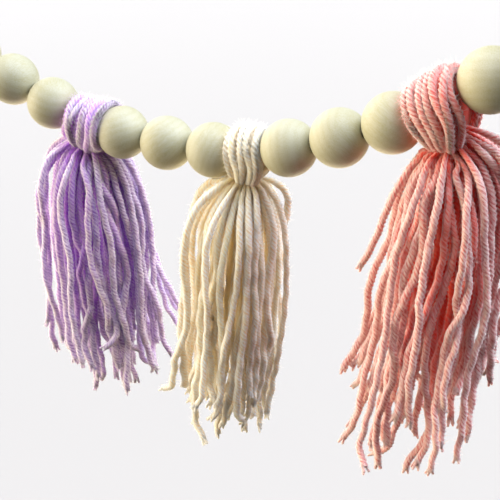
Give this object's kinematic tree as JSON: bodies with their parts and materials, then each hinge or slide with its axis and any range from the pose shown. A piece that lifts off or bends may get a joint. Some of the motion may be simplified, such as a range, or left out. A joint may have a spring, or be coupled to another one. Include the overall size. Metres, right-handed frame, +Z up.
{
  "type": "tassel garland",
  "caption": "Hanging garland of round bare wooden beads and looped yarn tassels in lavender, cream and pink, strung on a cotton string with a knotted hanging loop at each end.",
  "frame": {"origin": "where a hook bears inside the left hanging loop", "axes": "+X along the garland from the left loop to the right loop, +Y towards its back, +Z up"},
  "size_m": [0.3073, 0.0548, 0.2247],
  "materials": {
    "bead_wood": "bare, sanded, matte",
    "lavender_yarn": "soft 4-ply acrylic yarn",
    "cream_yarn": "soft 4-ply acrylic yarn",
    "pink_yarn": "soft 4-ply acrylic yarn",
    "cotton_string": "twisted cotton"
  },
  "bodies": {
    "root": {"bead_01": "bead_wood", "bead_02": "bead_wood", "bead_03": "bead_wood", "bead_04": "bead_wood", "bead_05": "bead_wood", "bead_06": "bead_wood", "bead_07": "bead_wood", "bead_08": "bead_wood", "bead_09": "bead_wood", "bead_10": "bead_wood", "bead_11": "bead_wood", "bead_12": "bead_wood", "tassel_lavender": "lavender_yarn", "tassel_cream": "cream_yarn", "tassel_pink": "pink_yarn", "string": "cotton_string", "end_loop_left": "cotton_string", "end_loop_right": "cotton_string"}
  },
  "joints": []
}
